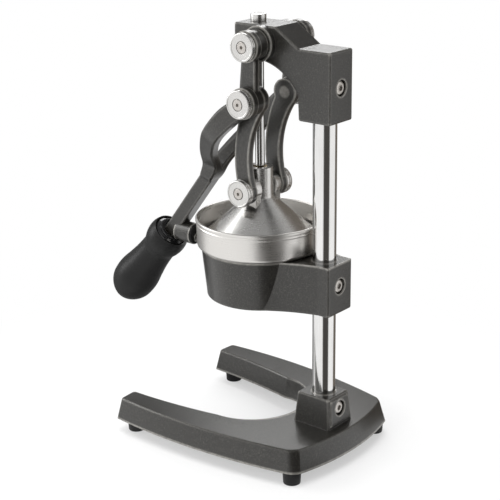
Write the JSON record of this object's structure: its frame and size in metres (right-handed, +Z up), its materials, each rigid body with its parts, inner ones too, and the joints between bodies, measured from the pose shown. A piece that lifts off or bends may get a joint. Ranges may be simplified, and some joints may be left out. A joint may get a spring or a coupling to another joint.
{
  "type": "lever citrus press",
  "caption": "Free-standing lever press for citrus: a forked lever lowers a bell on a guide rod over a strainer bowl held on a column.",
  "frame": {"origin": "on the floor plane where the feet rest, at the middle of the footprint box; the column axis stands 115.37 mm behind it", "axes": "+Z up, -Y towards the handle, X across the base"},
  "size_m": [0.1848, 0.3004, 0.4095],
  "materials": {
    "casting": "satin",
    "chrome": "polished",
    "steel": "satin",
    "stainless": "satin",
    "aluminium": "satin",
    "brass": "satin",
    "grip": "matte",
    "gloss_black": "gloss",
    "rubber": "matte"
  },
  "bodies": {
    "frame": {"base": "casting", "foot_front_right": "rubber", "foot_front_left": "rubber", "foot_rear_right": "rubber", "foot_rear_left": "rubber", "foot_screws": "steel", "column": "chrome", "set_screws": "steel", "cup_holder": "casting", "bowl": "stainless", "reamer": "stainless", "head": "casting", "guide_rod": "chrome", "guide_rod_nut": "chrome", "upper_shaft": "steel", "upper_cap_right": "chrome", "upper_cap_left": "chrome", "upper_cap_screws": "steel"},
    "lever": {"lever_fork": "casting", "stop_bumper": "rubber", "ferrule": "gloss_black", "grip": "grip", "mid_pin_right": "steel", "mid_pin_left": "steel", "mid_cap_right": "chrome", "mid_cap_left": "chrome", "mid_cap_screws": "steel"},
    "press": {"press_cone": "aluminium", "guide_bush": "brass"},
    "link_right": {"link_right": "casting", "lower_pin_right": "steel", "lower_cap_right": "chrome", "lower_cap_screw_right": "steel"},
    "link_left": {"link_left": "casting", "lower_pin_left": "steel", "lower_cap_left": "chrome", "lower_cap_screw_left": "steel"}
  },
  "joints": [
    {"name": "lever_hinge", "type": "hinge", "parent": "frame", "child": "lever", "pos_m": [0, 0.05799, 0.387], "axis": [-1, 0, 0], "range_deg": [0, 90]},
    {"name": "press_slide", "type": "slide", "parent": "frame", "child": "press", "axis": [0, 0, 1], "range_m": [0, 0.05756]},
    {"name": "link_right_hinge", "type": "hinge", "parent": "press", "child": "link_right", "pos_m": [0, 0.04159, 0.2496], "axis": [1, 0, 0], "range_deg": [0, 31.59]},
    {"name": "link_left_hinge", "type": "hinge", "parent": "press", "child": "link_left", "pos_m": [0, 0.04159, 0.2496], "axis": [1, 0, 0], "range_deg": [0, 31.59]}
  ],
  "couplings": [
    {"joint": "press_slide", "follows": "lever_hinge", "m_per_rad": 0.036643},
    {"joint": "link_right_hinge", "follows": "lever_hinge", "ratio": 0.35098},
    {"joint": "link_left_hinge", "follows": "lever_hinge", "ratio": 0.35098}
  ]
}
